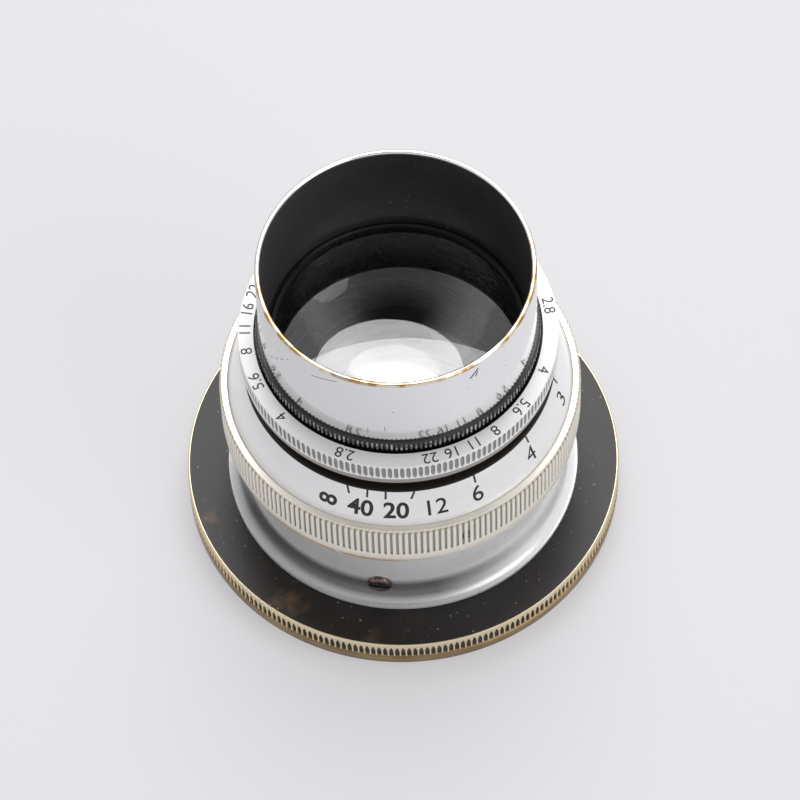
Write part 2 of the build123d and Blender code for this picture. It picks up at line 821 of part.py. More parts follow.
rear_clear_r = rear_glass_r - glass_lip
rear_lip_bottom = surface(rear_bulges[0], rear_top, rear_glass_r, rear_clear_r) + cement_gap
rear_edge = surface(rear_bulges[2], rear_bottom, rear_glass_r, rear_glass_r)
rear_ring_in_r = rear_glass_r - rear_ring_lap
rear_ring_r = rear_glass_r + glass_ring_wall
rear_ring_top = surface(rear_bulges[2], rear_bottom, rear_glass_r, rear_ring_in_r) - cement_gap
with BuildPart() as rear_cell:
    revolve(
        turned(
            (rear_ring_r + thread_fit, rear_cell_bottom),
            (cell_r, rear_cell_bottom),
            (cell_r, middle_cell_bottom),
            (rear_clear_r, middle_cell_bottom),
            (rear_clear_r, rear_lip_bottom),
            (rear_glass_r + glass_fit, rear_lip_bottom),
            (rear_glass_r + glass_fit, rear_edge),
            (rear_ring_r + thread_fit, rear_edge),
        ),
        axis=Axis.Z,
    )
rear_cell.part.label = "rear_cell"
export_step(rear_cell.part, "parts/rear_cell.step")

with BuildPart() as rear_glass_inner:
    revolve(
        glass(rear_bulges[0], rear_top, rear_bulges[1], rear_middle + cement_gap, rear_glass_r),
        axis=Axis.Z,
    )
rear_glass_inner.part.label = "rear_glass_inner"
export_step(rear_glass_inner.part, "parts/rear_glass_inner.step")

with BuildPart() as rear_glass_outer:
    revolve(
        glass(rear_bulges[1], rear_middle, rear_bulges[2], rear_bottom, rear_glass_r),
        axis=Axis.Z,
    )
rear_glass_outer.part.label = "rear_glass_outer"
export_step(rear_glass_outer.part, "parts/rear_glass_outer.step")

with BuildPart() as rear_retainer:
    revolve(
        turned(
            (rear_ring_in_r, rear_cell_bottom),
            (rear_ring_r, rear_cell_bottom),
            (rear_ring_r, rear_ring_top),
            (rear_ring_in_r, rear_ring_top),
        ),
        axis=Axis.Z,
    )
rear_retainer.part.label = "rear_retainer"
export_step(rear_retainer.part, "parts/rear_retainer.step")

# Rear lock ring, with two spanner slots, which clamps both cells

rear_lock_in_r = rear_ring_r + 2 * thread_fit
with BuildPart() as rear_lock_ring:
    revolve(
        turned(
            (rear_lock_in_r, rear_lock_bottom),
            (cell_r, rear_lock_bottom),
            (cell_r, rear_cell_bottom),
            (rear_lock_in_r, rear_cell_bottom),
        ),
        axis=Axis.Z,
    )
    with BuildSketch(Plane.XY.offset(rear_lock_bottom)):
        Rectangle(2 * cell_r + 1, rear_lock_height / 2)
    extrude(amount=rear_lock_height / 2, mode=Mode.SUBTRACT)
rear_lock_ring.part.label = "rear_lock_ring"
export_step(rear_lock_ring.part, "parts/rear_lock_ring.step")

# Aperture ring, with scallops round its edge, a flat face and a smooth lower band

scallop_bottom = ring_bottom + ring_band_height
scallop_root_r = ring_r - scallop_depth
ring_edge = scallop_depth / 2
with BuildPart() as aperture_ring:
    revolve(
        turned(
            (skirt_bore_r, ring_bottom),
            (ring_r - scallop_depth, ring_bottom),
            (ring_r - ring_edge / 2, scallop_bottom),
            (scallop_root_r, scallop_bottom),
            (scallop_root_r, ring_top - ring_edge),
            (ring_r, ring_top - ring_edge),
            (ring_r - ring_edge, ring_top),
            (plate_in_r, ring_top),
            (plate_in_r, plate_bottom),
            (skirt_bore_r, plate_bottom),
        ),
        axis=Axis.Z,
    )
    with BuildSketch(Plane.XY.offset(scallop_bottom)):
        add(toothed(ring_r, scallop_depth, scallop_pitch, 0, scallop_root_r - scallop_depth))
    extrude(amount=ring_top - ring_edge - scallop_bottom)
    with BuildSketch(outward_plane(drive_screw_azimuth, drive_height, head_r)):
        Circle(drive_screw_r + cement_gap)
    extrude(amount=2 * ring_width, mode=Mode.SUBTRACT)
aperture_ring.part.label = "aperture_ring"
export_step(aperture_ring.part, "parts/aperture_ring.step")

# Screw that joins the aperture ring to the drive sleeve through the barrel's slot

drive_screw_in_r = sleeve_in_r + sleeve_gap
drive_screw_out_r = scallop_root_r - scallop_depth
with BuildPart() as drive_screw:
    with BuildSketch(outward_plane(drive_screw_azimuth, drive_height, drive_screw_in_r)):
        Circle(drive_screw_r)
    extrude(amount=drive_screw_out_r - drive_screw_in_r)
    with BuildSketch(outward_plane(drive_screw_azimuth, drive_height, drive_screw_out_r)):
        Rectangle(3 * drive_screw_r, slot_width)
    extrude(amount=-drive_screw_r, mode=Mode.SUBTRACT)
drive_screw.part.label = "drive_screw"
export_step(drive_screw.part, "parts/drive_screw.step")

# Drive sleeve, with three tabs in the cam ring's notches

tab_depth = cam_thickness * 0.75
with BuildPart() as drive_sleeve:
    revolve(
        turned(
            (sleeve_in_r, cam_top),
            (sleeve_r, cam_top),
            (sleeve_r, cell_seat - 2 * face_gap),
            (sleeve_in_r, cell_seat - 2 * face_gap),
        ),
        axis=Axis.Z,
    )
    with BuildSketch(Plane.XY.offset(cam_top - tab_depth)) as tabs:
        with PolarLocations(sleeve_r - sleeve_wall / 2, 3):
            Rectangle(sleeve_wall * 2, tab_width)
        Circle(sleeve_in_r, mode=Mode.SUBTRACT)
        with BuildSketch(mode=Mode.INTERSECT):
            Circle(sleeve_r)
    extrude(amount=tab_depth)
    with BuildSketch(outward_plane(drive_screw_azimuth, drive_height, sleeve_in_r - sleeve_wall)):
        Circle(drive_screw_r + cement_gap)
    extrude(amount=3 * sleeve_wall, mode=Mode.SUBTRACT)
drive_sleeve.part.label = "drive_sleeve"
export_step(drive_sleeve.part, "parts/drive_sleeve.step")


# Iris cam: the place of the first blade's drive pin once it has swung, seen from the cam ring


def drive_pin_place(swing):
    pin_x, pin_y = polar(drive_pin_r, drive_pin_azimuth)
    arm_x = pin_x - pivot_r
    turn = radians(swing)
    return (
        pivot_r + arm_x * cos(turn) - pin_y * sin(turn),
        arm_x * sin(turn) + pin_y * cos(turn),
    )


def cam_place(share):
    x, y = drive_pin_place(blade_swing * share)
    back = radians(aperture_travel * share)
    return (x * cos(back) + y * sin(back), y * cos(back) - x * sin(back))


cam_path = [cam_place(step / cam_steps) for step in range(cam_steps + 1)]
cam_slot_r = pin_r + pin_fit
with BuildPart() as cam_ring:
    with BuildSketch(Plane.XY.offset(cam_bottom)):
        Circle(sleeve_r)
        Circle(iris_clear_r, mode=Mode.SUBTRACT)
        with PolarLocations(sleeve_r, 3):
            Rectangle(2 * sleeve_wall + 0.1, tab_width + 2 * thread_fit, mode=Mode.SUBTRACT)
    extrude(amount=cam_thickness)
    with BuildSketch(Plane.XY.offset(cam_bottom)) as one_slot:
        with BuildLine():
            Spline(*cam_path)
        trace(line_width=2 * cam_slot_r)
        with Locations(cam_path[0], cam_path[-1]):
            Circle(cam_slot_r)
    for azimuth in pivot_azimuths:
        extrude(one_slot.sketch.rotate(Axis.Z, azimuth), amount=cam_thickness, mode=Mode.SUBTRACT)
cam_ring.part.label = "cam_ring"
export_step(cam_ring.part, "parts/cam_ring.step")

# Twelve crescent blades, one above the other, each with a pivot pin down and a drive pin up

blade_mid = (blade_start + blade_end) / 2
tip_x, tip_y = polar((blade_open_r + blade_outer_r) / 2, blade_end)
cap_x, cap_y = polar((blade_outer_r - blade_open_r) / 2, blade_end + 90)
with BuildSketch() as blade_outline:
    with BuildLine():
        ThreePointArc(
            polar(blade_open_r, blade_start), polar(blade_open_r, blade_mid), polar(blade_open_r, blade_end)
        )
        ThreePointArc(
            polar(blade_open_r, blade_end), (tip_x + cap_x, tip_y + cap_y), polar(blade_outer_r, blade_end)
        )
        ThreePointArc(
            polar(blade_outer_r, blade_end), polar(blade_outer_r, blade_mid), polar(blade_outer_r, blade_start)
        )
        Line(polar(blade_outer_r, blade_start), polar(blade_open_r, blade_start))
    make_face()
    for boss_place in (polar(pivot_r, 0), polar(drive_pin_r, drive_pin_azimuth)):
        with Locations(boss_place):
            Circle(boss_r)
    for boss_azimuth in (0, drive_pin_azimuth):
        with Locations(polar(blade_outer_r, boss_azimuth)):
            Rectangle(2 * boss_r, 2 * boss_r, rotation=boss_azimuth)
for blade, azimuth in enumerate(pivot_azimuths):
    level = iris_base_top + face_gap + blade_pitch * blade
    with BuildPart() as iris_blade:
        with BuildSketch(Plane.XY.offset(level)):
            add(blade_outline.sketch.rotate(Axis.Z, azimuth))
        extrude(amount=blade_thickness)
        with BuildSketch(Plane.XY.offset(iris_seat + 2 * face_gap)):
            with Locations(polar(pivot_r, azimuth)):
                Circle(pin_r)
        extrude(amount=level - iris_seat - 2 * face_gap)
        with BuildSketch(Plane.XY.offset(level + blade_thickness)):
            with Locations(polar(drive_pin_r, azimuth + drive_pin_azimuth)):
                Circle(pin_r)
        extrude(amount=cam_top - 2 * face_gap - level - blade_thickness)
    name = f"iris_blade_{blade + 1:02d}"
    iris_blade.part.label = name
    export_step(iris_blade.part, f"parts/{name}.step")
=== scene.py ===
import bpy
import math
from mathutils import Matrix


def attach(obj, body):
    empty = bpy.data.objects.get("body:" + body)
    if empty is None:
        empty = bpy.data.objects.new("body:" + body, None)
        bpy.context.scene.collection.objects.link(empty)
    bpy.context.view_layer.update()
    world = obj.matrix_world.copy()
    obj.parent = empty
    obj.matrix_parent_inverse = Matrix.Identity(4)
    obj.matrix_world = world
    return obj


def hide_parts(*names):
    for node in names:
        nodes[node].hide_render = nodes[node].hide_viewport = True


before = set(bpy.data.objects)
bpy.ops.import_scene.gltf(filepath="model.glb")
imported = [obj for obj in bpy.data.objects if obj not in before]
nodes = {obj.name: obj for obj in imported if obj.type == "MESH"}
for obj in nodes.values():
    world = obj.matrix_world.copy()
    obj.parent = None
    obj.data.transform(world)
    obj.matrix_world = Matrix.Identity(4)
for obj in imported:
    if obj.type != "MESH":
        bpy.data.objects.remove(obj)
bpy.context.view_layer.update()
mm = 0.001
print("frame loaded,", len(nodes), "nodes")


# Camera, at the photograph's angle
cameraLook = {
    "elevation": 58.645,
    "roll": -2.293,
    "distance": 828.4,
    "aimX": -0.14,
    "aimZ": 26.54,
    "lens": 225,
    "sensor": 36,
}
lookDown = math.radians(cameraLook["elevation"])
bpy.ops.object.camera_add(
    location=(
        cameraLook["aimX"] * mm,
        -cameraLook["distance"] * math.cos(lookDown) * mm,
        (cameraLook["aimZ"] + cameraLook["distance"] * math.sin(lookDown)) * mm,
    )
)
camera = bpy.context.object
camera.rotation_mode = "ZXY"  # roll first, then the tilt
camera.rotation_euler = (math.radians(90) - lookDown, 0, math.radians(cameraLook["roll"]))
camera.data.lens = cameraLook["lens"]
camera.data.sensor_width = cameraLook["sensor"]
bpy.context.scene.camera = camera
bpy.context.scene.view_settings.view_transform = "Standard"


# Nodes, for the world and for materials

def addNode(made, kind):
    return made.node_tree.nodes.new("ShaderNode" + kind)


def feed(made, socket, value):
    # A socket takes another node's output, a number or a colour
    if isinstance(value, bpy.types.NodeSocket):
        made.node_tree.links.new(value, socket)
    elif isinstance(value, (int, float)):
        socket.default_value = value
    else:
        socket.default_value = (*value, 1)


def addMath(made, operation, first, second=0.0):
    step = addNode(made, "Math")
    step.operation = operation
    feed(made, step.inputs[0], first)
    feed(made, step.inputs[1], second)
    return step.outputs[0]


def times(made, *factors):
    # Masks and numbers multiplied
    product = factors[0]
    for factor in factors[1:]:
        product = addMath(made, "MULTIPLY", product, factor)
    return product


def addMix(made, amount, first, second):
    # Two colours mixed by an amount
    blend = addNode(made, "Mix")
    blend.data_type = "RGBA"
    feed(made, blend.inputs[0], amount)
    feed(made, blend.inputs[6], first)
    feed(made, blend.inputs[7], second)
    return blend.outputs[2]


def seenRays(made, share=1.0):
    # One for rays through glass, and the share for rays from the camera and from mirrors
    rays = addNode(made, "LightPath")
    direct = addMath(made, "MAXIMUM", rays.outputs["Is Camera Ray"], rays.outputs["Is Glossy Ray"])
    return addMath(made, "MAXIMUM", times(made, direct, share), rays.outputs["Is Transmission Ray"])


def mixShaders(made, amount, first, second, output):
    # Two shaders mixed by an amount, into an output node
    mix = addNode(made, "MixShader")
    feed(made, mix.inputs["Fac"], amount)
    feed(made, mix.inputs[1], first.outputs[0])
    feed(made, mix.inputs[2], second.outputs[0])
    feed(made, addNode(made, output).inputs["Surface"], mix.outputs[0])


# World, floor and lamps
studio = {
    "backdrop": (0.799, 0.791, 0.815),
    "ceiling": (0.02, 0.02, 0.021),  # what metal and glass mirror from high above
    "ceilingFrom": 0.94,  # sine of the angle at which the ceiling starts
    "ceilingSoft": 0.04,
    "fill": 0.48,  # strength of the plain light from all round
    "shadowShare": 0.46,  # how much of the floor takes the shadow
    "floorSize": 6,
}

world = bpy.data.worlds.new("studioWorld")
bpy.context.scene.world = world
world.use_nodes = True
world.node_tree.nodes.clear()
plain = addNode(world, "Background")
feed(world, plain.inputs["Color"], (1, 1, 1))
feed(world, plain.inputs["Strength"], studio["fill"])
upward = addNode(world, "SeparateXYZ")
feed(world, upward.inputs["Vector"], addNode(world, "TexCoord").outputs["Generated"])
rise = addNode(world, "MapRange")
feed(world, rise.inputs["From Min"], studio["ceilingFrom"] - studio["ceilingSoft"])
feed(world, rise.inputs["From Max"], studio["ceilingFrom"] + studio["ceilingSoft"])
feed(world, rise.inputs["Value"], upward.outputs["Z"])
mirrored = times(world, rise.outputs[0], addNode(world, "LightPath").outputs["Is Glossy Ray"])
shown = addNode(world, "Background")
feed(world, shown.inputs["Color"], addMix(world, mirrored, studio["backdrop"], studio["ceiling"]))
mixShaders(world, seenRays(world), plain, shown, "OutputWorld")

bpy.ops.object.select_all(action="DESELECT")
bpy.ops.mesh.primitive_plane_add(size=studio["floorSize"], location=(0, 0, 0))
floor = bpy.context.object
floor.name = "floor"
paper = bpy.data.materials.new("floorPaper")
paper.use_nodes = True
paper.node_tree.nodes.clear()
lit = addNode(paper, "BsdfDiffuse")
glow = addNode(paper, "Emission")
feed(paper, lit.inputs["Color"], studio["backdrop"])
feed(paper, glow.inputs["Color"], studio["backdrop"])
mixShaders(paper, seenRays(paper, 1 - studio["shadowShare"]), lit, glow, "OutputMaterial")
floor.data.materials.append(paper)

lamps = {
    # place round the axis and height in degrees, distance and width in metres, watts
    "softbox": (84, 60, 0.9, 0.68, 4.6),
    "frontFill": (-38, 42, 1.1, 0.70, 2.3),
}
for lampName, (turn, rise, distance, width, watts) in lamps.items():
    lampTurn = math.radians(turn)
    lampRise = math.radians(rise)
    bpy.ops.object.light_add(
        type="AREA",
        location=(
            distance * math.cos(lampRise) * math.cos(lampTurn),
            distance * math.cos(lampRise) * math.sin(lampTurn),
            distance * math.sin(lampRise),
        ),
        rotation=(0, math.radians(90) - lampRise, lampTurn),
    )
    lamp = bpy.context.object
    lamp.name = lampName
    lamp.data.shape = "DISK"
    lamp.data.size = width
    lamp.data.energy = watts
    lamp.visible_camera = False
print("camera, floor and light set")


# Materials, all from nodes on Object coordinates

def setSocket(made, name, value):
    feed(made, made.node_tree.nodes["Principled BSDF"].inputs[name], value)


def newMaterial(name, colour, metal, rough, specular=0.5):
    made = bpy.data.materials.new(name)
    made.use_nodes = True
    setSocket(made, "Base Color", colour)
    setSocket(made, "Metallic", metal)
    setSocket(made, "Roughness", rough)
    setSocket(made, "Specular IOR Level", specular)
    return made


def addNoise(made, scale, detail, stretch=(1, 1, 1)):
    # Noise on the piece's own place, scale counted in waves over a metre
    mapping = addNode(made, "Mapping")
    mapping.inputs["Scale"].default_value = stretch
    feed(made, mapping.inputs["Vector"], addNode(made, "TexCoord").outputs["Object"])
    noise = addNode(made, "TexNoise")
    feed(made, noise.inputs["Scale"], scale)
    feed(made, noise.inputs["Detail"], detail)
    feed(made, noise.inputs["Vector"], mapping.outputs["Vector"])
    return noise.outputs["Fac"]


def addRamp(made, source, *stops):
    # Two stops, each a place from 0 to 1 and a grey or a colour
    ramp = addNode(made, "ValToRGB")
    for element, (place, colour) in zip(ramp.color_ramp.elements, stops):
        element.position = place
        shade = (colour, colour, colour) if isinstance(colour, (int, float)) else colour
        element.color = (*shade, 1)
    feed(made, ramp.inputs["Fac"], source)
    return ramp.outputs["Color"]


def addSpecks(made, scale, amount):
    # Small scattered spots, as a mask
    return addRamp(made, addNoise(made, scale, 1), (amount, 0.0), (amount + 0.03, 1.0))


def addBump(made, source, strength, distance):
    bump = addNode(made, "Bump")
    feed(made, bump.inputs["Strength"], strength)
    feed(made, bump.inputs["Distance"], distance)
    feed(made, bump.inputs["Height"], source)
    setSocket(made, "Normal", bump.outputs["Normal"])


def radiusOf(made):
    # Distance from the optical axis and height in metres, and the node that has x and y
    parts = addNode(made, "SeparateXYZ")
    feed(made, parts.inputs["Vector"], addNode(made, "TexCoord").outputs["Object"])
    across = times(made, parts.outputs["X"], parts.outputs["X"])
    along = times(made, parts.outputs["Y"], parts.outputs["Y"])
    return addMath(made, "SQRT", addMath(made, "ADD", across, along)), parts.outputs["Z"], parts


def turnOf(made, parts):
    # Angle round the optical axis in degrees, from +X
    return times(made, addMath(made, "ARCTAN2", parts.outputs["Y"], parts.outputs["X"]), math.degrees(1))


def between(made, value, zone):
    # One inside a zone, nought outside: a zone is low, high and softness, in metres or degrees
    low, high, soft = zone
    rise = addNode(made, "MapRange")
    feed(made, rise.inputs["From Min"], low - soft)
    feed(made, rise.inputs["From Max"], low + soft)
    feed(made, rise.inputs["Value"], value)
    fall = addNode(made, "MapRange")
    feed(made, fall.inputs["From Min"], high + soft)
    feed(made, fall.inputs["From Max"], high - soft)
    feed(made, fall.inputs["Value"], value)
    return times(made, rise.outputs[0], fall.outputs[0])


def satinMetal(name, colour, metal, rough):
    # Plated metal with a slight haze
    made = newMaterial(name, colour, metal, rough)
    haze = addNoise(made, 90, 5)
    setSocket(made, "Roughness", addRamp(made, haze, (0.3, rough - 0.04), (0.7, rough + 0.05)))
    return made


finish = {
    "brass": (0.72, 0.52, 0.24),
    "brassHaze": ((0.3, (0.50, 0.34, 0.14)), (0.7, (0.80, 0.60, 0.30))),
    "black": (0.012, 0.012, 0.013),
    "inside": (0.004, 0.004, 0.0045),
    "mouth": (0.005, 0.005, 0.0055),
    "steel": (0.20, 0.17, 0.16),
    "steelHaze": ((0.35, (0.09, 0.06, 0.055)), (0.7, (0.24, 0.19, 0.18))),
    "paint": (0.01, 0.01, 0.01),
}

brass = newMaterial("bareBrass", finish["brass"], 1, 0.3)
setSocket(brass, "Base Color", addRamp(brass, addNoise(brass, 1200, 5), *finish["brassHaze"]))

black = newMaterial("blackPaint", finish["black"], 0, 0.35)
haze = addNoise(black, 1500, 6)
setSocket(black, "Roughness", addRamp(black, haze, (0.3, 0.3), (0.75, 0.5)))
addBump(black, haze, 0.05, 0.0002)

matt = newMaterial("mattBlackInside", finish["inside"], 0, 0.6, specular=0.15)
haze = addNoise(matt, 2500, 4)
setSocket(matt, "Roughness", addRamp(matt, haze, (0.3, 0.55), (0.75, 0.65)))

mouth = newMaterial("mouthBlack", finish["mouth"], 0, 0.3, specular=0.2)
haze = addNoise(mouth, 700, 4, stretch=(1, 1, 4))
setSocket(mouth, "Roughness", addRamp(mouth, haze, (0.3, 0.22), (0.75, 0.4)))

steel = newMaterial("darkSteel", finish["steel"], 1, 0.3)
setSocket(steel, "Base Color", addRamp(steel, addNoise(steel, 2000, 5), *finish["steelHaze"]))

paint = newMaterial("scalePaint", finish["paint"], 0, 0.5)
setSocket(paint, "Base Color", addRamp(paint, addNoise(paint, 3000, 4), (0.35, 0.006), (0.75, 0.03)))
print("materials made")


# Shapes

def turnPiece(name, points, steps):
    # Outline of radius and height in mm, closed, spun round the axis
    bpy.ops.object.select_all(action="DESELECT")
    bpy.ops.mesh.primitive_plane_add(size=0.001, location=(0, 0, 0))
    piece = bpy.context.object
    piece.name = name
    piece.data.name = name
    bpy.ops.object.mode_set(mode="EDIT")
    bpy.ops.mesh.select_all(action="SELECT")
    bpy.ops.mesh.merge(type="CENTER")
    bpy.ops.transform.translate(value=(points[0][0] * mm, 0, points[0][1] * mm))
    for last, here in zip(points, points[1:] + points[:1]):
        step = ((here[0] - last[0]) * mm, 0, (here[1] - last[1]) * mm)
        bpy.ops.mesh.extrude_region_move(TRANSFORM_OT_translate={"value": step})
    bpy.ops.mesh.select_all(action="SELECT")
    bpy.ops.mesh.spin(steps=steps, angle=math.tau, center=(0, 0, 0), axis=(0, 0, 1))
    bpy.ops.mesh.select_all(action="SELECT")
    bpy.ops.mesh.remove_doubles(threshold=0.000002)
    bpy.ops.mesh.normals_make_consistent(inside=False)
    bpy.ops.object.mode_set(mode="OBJECT")
    return piece


def resizeRing(piece, radius, height, factor, chosen, teeth, phases):
    # Vertices in a range of radius and height, and in some phases of a tooth, moved in or out
    bpy.ops.object.select_all(action="DESELECT")
    piece.select_set(True)
    bpy.context.view_layer.objects.active = piece
    bpy.ops.object.mode_set(mode="EDIT")
    bpy.ops.mesh.select_all(action="DESELECT")
    bpy.ops.mesh.select_mode(type="VERT")
    bpy.ops.object.mode_set(mode="OBJECT")
    for vertex in piece.data.vertices:
        x, y, z = vertex.co
        out = math.hypot(x, y) / mm
        if radius[0] < out < radius[1] and height[0] < z / mm < height[1]:
            turn = round(math.atan2(y, x) / math.tau * teeth * phases) % phases
            vertex.select = turn in chosen
    bpy.ops.object.mode_set(mode="EDIT")
    bpy.ops.transform.resize(value=(factor, factor, 1), center_override=(0, 0, 0))
    bpy.ops.object.mode_set(mode="OBJECT")


def cutTeeth(piece, sizes):
    # Each cut is a row's height, the phases of a tooth that it takes in, and its depth
    radius = (sizes["outer"] - 0.06, sizes["outer"] + 0.1)
    for row, chosen, depth in sizes["cuts"]:
        height = (row - 0.03, row + 0.03)
        factor = (sizes["outer"] - depth) / sizes["outer"]
        resizeRing(piece, radius, height, factor, chosen, sizes["teeth"], sizes["phases"])


def finishPiece(piece, material, body, replaced, angle=35):
    # Smooth shading, material, the body it rides on and the nodes it stands for
    bpy.ops.object.select_all(action="DESELECT")
    piece.select_set(True)
    bpy.context.view_layer.objects.active = piece
    bpy.ops.object.shade_smooth_by_angle(angle=math.radians(angle))
    piece.data.materials.clear()
    piece.data.materials.append(material)
    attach(piece, body)
    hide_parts(*replaced)


# Hood tube
hood = {
    "radius": 22.5,
    "bore": 21.6,
    "spigot": 22.15,
    "foot": 47.4,
    "shoulder": 50.9,
    "top": 67.5,
    "lip": 0.3,
    "steps": 320,
    "rough": 0.14,
    "plated": (0.86, 0.86, 0.87),
    "platedSpeck": (0.30, 0.29, 0.28),
    # the next colour is painted shade on the left side of the hood
    "platedLeft": (0.45, 0.45, 0.46),
    "brass": ((0.4, (0.42, 0.25, 0.11)), (0.58, (0.78, 0.70, 0.52))),
    "paintRough": 0.28,  # added to the plating's roughness
    "paint": ((0.35, 0.022), (0.72, 0.045)),
    "paintScuff": (0.05, 0.047, 0.045),
    "paintSpeck": (0.28, 0.27, 0.25),
    # the next colour is a painted sheen on the paint inside
    "paintSide": (0.078, 0.075, 0.080),
    "paintRadius": (0, 0.02168, 0.00003),
    "paintHeight": (0.04, 0.0671, 0.00008),
    "rimHeight": (0.06712, 0.069, 0.0001),
    "rimTurn": (-185, 12, 12),
}
hoodTube = turnPiece(
    "hoodTube",
    [
        (hood["bore"], hood["foot"]),
        (hood["spigot"], hood["foot"]),
        (hood["spigot"], hood["shoulder"]),
        (hood["radius"], hood["shoulder"]),
        (hood["radius"], hood["top"] - hood["lip"] * 1.3),
        (hood["radius"] - hood["lip"] * 0.3, hood["top"] - hood["lip"] * 0.4),
        (hood["radius"] - hood["lip"], hood["top"]),
        (hood["bore"] + hood["lip"], hood["top"]),
        (hood["bore"] + hood["lip"] * 0.3, hood["top"] - hood["lip"] * 0.4),
        (hood["bore"], hood["top"] - hood["lip"] * 1.3),
    ],
    hood["steps"],
)
hoodFinish = newMaterial("hoodFinish", hood["plated"], 1, hood["rough"])
out, up, parts = radiusOf(hoodFinish)
painted = times(
    hoodFinish,
    between(hoodFinish, out, hood["paintRadius"]),
    between(hoodFinish, up, hood["paintHeight"]),
)
# Painted shade: the plating is darker on the left
plated = addMix(hoodFinish, addSpecks(hoodFinish, 1300, 0.77), hood["plated"], hood["platedSpeck"])
sideShade = addMath(hoodFinish, "ADD", times(hoodFinish, parts.outputs["X"], 17.0), 0.86)
plated = addMix(hoodFinish, sideShade, hood["platedLeft"], plated)
# Brass shows on the rim, at the front and the left
bared = times(
    hoodFinish,
    between(hoodFinish, up, hood["rimHeight"]),
    between(hoodFinish, turnOf(hoodFinish, parts), hood["rimTurn"]),
    addRamp(hoodFinish, addNoise(hoodFinish, 150, 5), (0.33, 0.0), (0.43, 1.0)),
)
brassTone = addRamp(hoodFinish, addNoise(hoodFinish, 420, 4), *hood["brass"])
plated = addMix(hoodFinish, bared, plated, brassTone)
# Black paint inside, with turning marks, scuffs and specks
turned = addNoise(hoodFinish, 5000, 3, stretch=(0.02, 0.02, 1))
scuffs = addNoise(hoodFinish, 260, 6, stretch=(1, 1, 3))
scuffed = addRamp(hoodFinish, scuffs, (0.5, 0.0), (0.8, 0.5))
dustAndSheen = addMix(hoodFinish, scuffed, addRamp(hoodFinish, turned, *hood["paint"]), hood["paintScuff"])
specks = times(hoodFinish, addSpecks(hoodFinish, 1700, 0.72), 0.5)
dustAndSheen = addMix(hoodFinish, specks, dustAndSheen, hood["paintSpeck"])
# Painted sheen: the paint is lighter at the sides, most of it at the left
leftSheen = addMath(hoodFinish, "MAXIMUM", times(hoodFinish, parts.outputs["X"], -46.0), 0.0)
rightSheen = addMath(hoodFinish, "MAXIMUM", times(hoodFinish, parts.outputs["X"], 18.0), 0.0)
dustAndSheen = addMix(hoodFinish, addMath(hoodFinish, "ADD", leftSheen, rightSheen), dustAndSheen, hood["paintSide"])
setSocket(hoodFinish, "Base Color", addMix(hoodFinish, painted, plated, dustAndSheen))
setSocket(hoodFinish, "Metallic", addMath(hoodFinish, "SUBTRACT", 1.0, painted))
rougher = times(hoodFinish, painted, hood["paintRough"])
setSocket(hoodFinish, "Roughness", addMath(hoodFinish, "ADD", rougher, hood["rough"]))
finishPiece(hoodTube, hoodFinish, "lens_head", ["hood_tube"], angle=50)

# Hood lock ring, finely knurled
lockRing = {
    "teeth": 185,
    "phases": 6,
    "tip": 23.1,
    "root": 22.9,
    "bore": 22.2,
    "bottom": 48.95,
    "top": 50.85,
    "black": (0.015, 0.015, 0.016),
    # the next colour is chipped paint and painted glints on the tooth tips
    "chip": (0.55, 0.55, 0.54),
    "tipRadius": (0.02304, 0.024, 0.00002),
}
hoodLock = turnPiece(
    "hoodLockRing",
    [
        (lockRing["bore"], lockRing["bottom"]),
        (lockRing["root"] - 0.1, lockRing["bottom"]),
        (lockRing["tip"], lockRing["bottom"] + 0.12),
        (lockRing["tip"], lockRing["top"] - 0.25),
        (lockRing["root"] - 0.1, lockRing["top"]),
        (lockRing["bore"], lockRing["top"]),
    ],
    lockRing["teeth"] * lockRing["phases"],
)
resizeRing(
    hoodLock,
    (lockRing["tip"] - 0.05, lockRing["tip"] + 0.1),
    (lockRing["bottom"], lockRing["top"]),
    lockRing["root"] / lockRing["tip"],
    (0, 1, 5),
    lockRing["teeth"],
    lockRing["phases"],
)
lockMetal = newMaterial("lockRingBlack", lockRing["black"], 0, 0.3)
out, up, parts = radiusOf(lockMetal)
# Chipped paint and painted glints on the tooth tips
chipGlintNoise = addRamp(lockMetal, addNoise(lockMetal, 900, 3), (0.42, 0.15), (0.62, 1.0))
chippedAndGlinting = times(lockMetal, between(lockMetal, out, lockRing["tipRadius"]), chipGlintNoise)
setSocket(lockMetal, "Base Color", addMix(lockMetal, chippedAndGlinting, lockRing["black"], lockRing["chip"]))
finishPiece(hoodLock, lockMetal, "lens_head", ["hood_lock_ring"])

